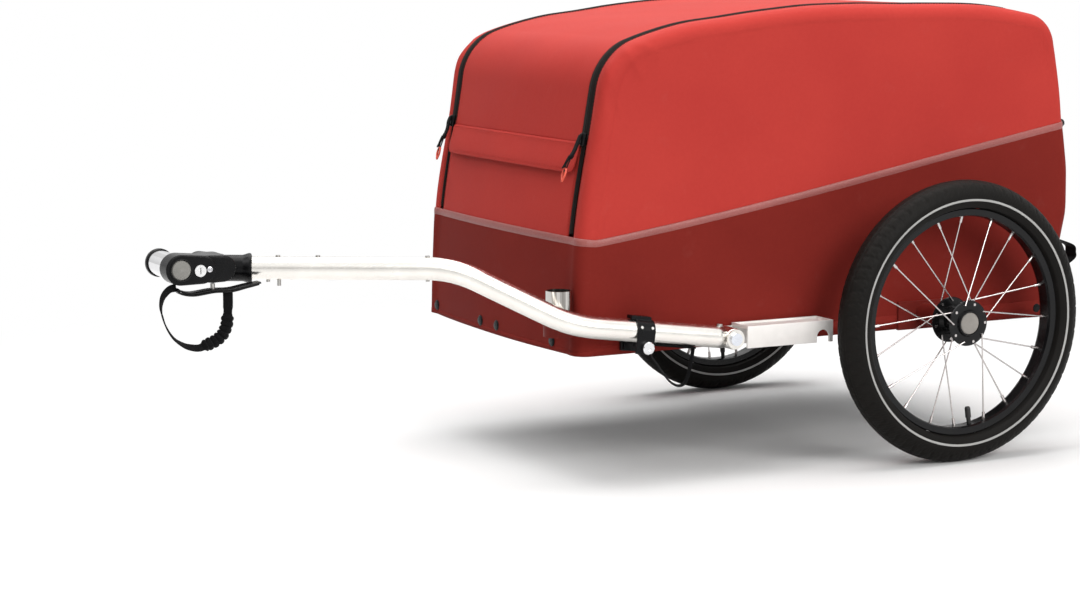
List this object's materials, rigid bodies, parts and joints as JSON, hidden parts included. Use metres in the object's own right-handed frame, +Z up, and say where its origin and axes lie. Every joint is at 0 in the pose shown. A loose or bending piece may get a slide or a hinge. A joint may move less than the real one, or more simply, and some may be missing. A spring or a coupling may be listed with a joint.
{
  "type": "cargo bicycle trailer",
  "caption": "Two-wheel fabric-bodied cargo bicycle trailer with a folding offset drawbar, latching hitch, spoked wheels and a zipped cover.",
  "frame": {"origin": "centre of the footprint, at the bottom of the tyres", "axes": "+X rearward along the trailer, +Y to the trailer's right, away from the drawbar, +Z up"},
  "size_m": [1.391, 0.7012, 0.6355],
  "materials": {
    "tyre_rubber": "fine ribbed tread",
    "black_alloy": "black anodised",
    "spoke_steel": "drawn stainless wire",
    "bearing_steel": "satin",
    "valve_rubber": "matt",
    "button_grey": "satin grey",
    "frame_aluminium": "clear anodised",
    "corner_plastic": "fine grain",
    "floor_board": "fine grain",
    "fabric_red": "coated woven polyester",
    "fabric_dark_red": "coated woven polyester",
    "band_reflective": "retro-reflective tape",
    "webbing_black": "woven",
    "zip_black": "satin",
    "drawbar_aluminium": "polished",
    "bolt_steel": "satin",
    "collar_black": "fine grain",
    "chrome_bright": "mirror",
    "hitch_black": "fine grain",
    "lock_steel": "satin"
  },
  "bodies": {
    "chassis": {"floor_panel": "floor_board", "side_rails": "frame_aluminium", "crossbars": "frame_aluminium", "corner_joints": "corner_plastic", "side_hoops": "frame_aluminium", "top_crossbars": "frame_aluminium", "axle_receivers": "frame_aluminium", "stub_axles": "bolt_steel", "left_side_panel": "fabric_red", "right_side_panel": "fabric_red", "lower_panels": "fabric_dark_red", "front_panel": "fabric_red", "rear_panel": "fabric_red", "reflective_band": "band_reflective", "zip_tapes": "zip_black", "drawbar_bracket": "frame_aluminium", "bracket_bolts": "bolt_steel", "pivot_bolt": "bolt_steel", "latch_receiver": "corner_plastic", "walker_socket": "chrome_bright", "socket_bracket": "frame_aluminium", "panel_screws": "corner_plastic", "rear_handle": "webbing_black", "band_end_stop": "corner_plastic"},
    "wheel_left": {"left_tyre": "tyre_rubber", "left_rim": "black_alloy", "left_spokes": "spoke_steel", "left_nipples": "spoke_steel", "left_hub": "black_alloy", "left_bearings": "bearing_steel", "left_valve": "valve_rubber"},
    "left_hub_button": {"left_hub_button": "button_grey"},
    "wheel_right": {"right_tyre": "tyre_rubber", "right_rim": "black_alloy", "right_spokes": "spoke_steel", "right_nipples": "spoke_steel", "right_hub": "black_alloy", "right_bearings": "bearing_steel", "right_valve": "valve_rubber"},
    "right_hub_button": {"right_hub_button": "button_grey"},
    "drawbar": {"drawbar_tube": "drawbar_aluminium", "pivot_bush": "drawbar_aluminium", "latch_collar": "collar_black", "drawbar_fasteners": "bolt_steel", "hitch_housing": "hitch_black", "coupler_sleeve": "chrome_bright", "coupler_ring": "hitch_black", "strap_anchor": "webbing_black", "lanyard_anchor": "webbing_black", "safety_strap": "webbing_black", "pin_lanyard": "webbing_black"},
    "lock_barrel": {"lock_barrel": "lock_steel"},
    "release_button": {"release_button": "button_grey"},
    "latch_pin": {"latch_pin": "chrome_bright"},
    "cover": {"cover_panel": "fabric_red"},
    "front_flap": {"front_flap": "fabric_red"},
    "left_zip_slider": {"left_zip_slider": "zip_black"},
    "right_zip_slider": {"right_zip_slider": "zip_black"}
  },
  "joints": [
    {"name": "wheel_left_spin", "type": "hinge", "parent": "chassis", "child": "wheel_left", "pos_m": [0.40125, -0.325, 0.1975], "axis": [0, 1, 0], "continuous": true},
    {"name": "wheel_right_spin", "type": "hinge", "parent": "chassis", "child": "wheel_right", "pos_m": [0.40125, 0.325, 0.1975], "axis": [0, 1, 0], "continuous": true},
    {"name": "left_hub_button_press", "type": "slide", "parent": "chassis", "child": "left_hub_button", "axis": [0, 1, 0], "range_m": [0, 0.003], "stiffness_N_per_m": 600},
    {"name": "right_hub_button_press", "type": "slide", "parent": "chassis", "child": "right_hub_button", "axis": [0, -1, 0], "range_m": [0, 0.003], "stiffness_N_per_m": 600},
    {"name": "drawbar_fold", "type": "hinge", "parent": "chassis", "child": "drawbar", "pos_m": [0.06425, -0.266, 0.19], "axis": [0, 1, 0], "range_deg": [-177, 0], "deforming": ["safety_strap", "pin_lanyard"]},
    {"name": "latch_pin_pull", "type": "slide", "parent": "drawbar", "child": "latch_pin", "axis": [0, -1, 0], "range_m": [0, 0.02], "deforming": ["pin_lanyard"]},
    {"name": "hitch_release_press", "type": "slide", "parent": "drawbar", "child": "release_button", "axis": [0, 1, 0], "range_m": [0, 0.005], "stiffness_N_per_m": 800},
    {"name": "hitch_lock_turn", "type": "hinge", "parent": "drawbar", "child": "lock_barrel", "pos_m": [-0.64775, -0.16, 0.311], "axis": [0, 1, 0], "range_deg": [0, 90]},
    {"name": "cover_open", "type": "hinge", "parent": "chassis", "child": "cover", "pos_m": [0.55125, 0, 0.6245], "axis": [0, 1, 0], "range_deg": [0, 100]},
    {"name": "front_flap_lift", "type": "hinge", "parent": "cover", "child": "front_flap", "pos_m": [-0.1384, 0, 0.4575], "axis": [0, 1, 0], "range_deg": [0, 110]},
    {"name": "left_zip_slide", "type": "slide", "parent": "chassis", "child": "left_zip_slider", "axis": [0.1703, 0, 0.9854], "range_m": [-0.082, 0.064]},
    {"name": "right_zip_slide", "type": "slide", "parent": "chassis", "child": "right_zip_slider", "axis": [0.1703, 0, 0.9854], "range_m": [-0.082, 0.064]}
  ]
}
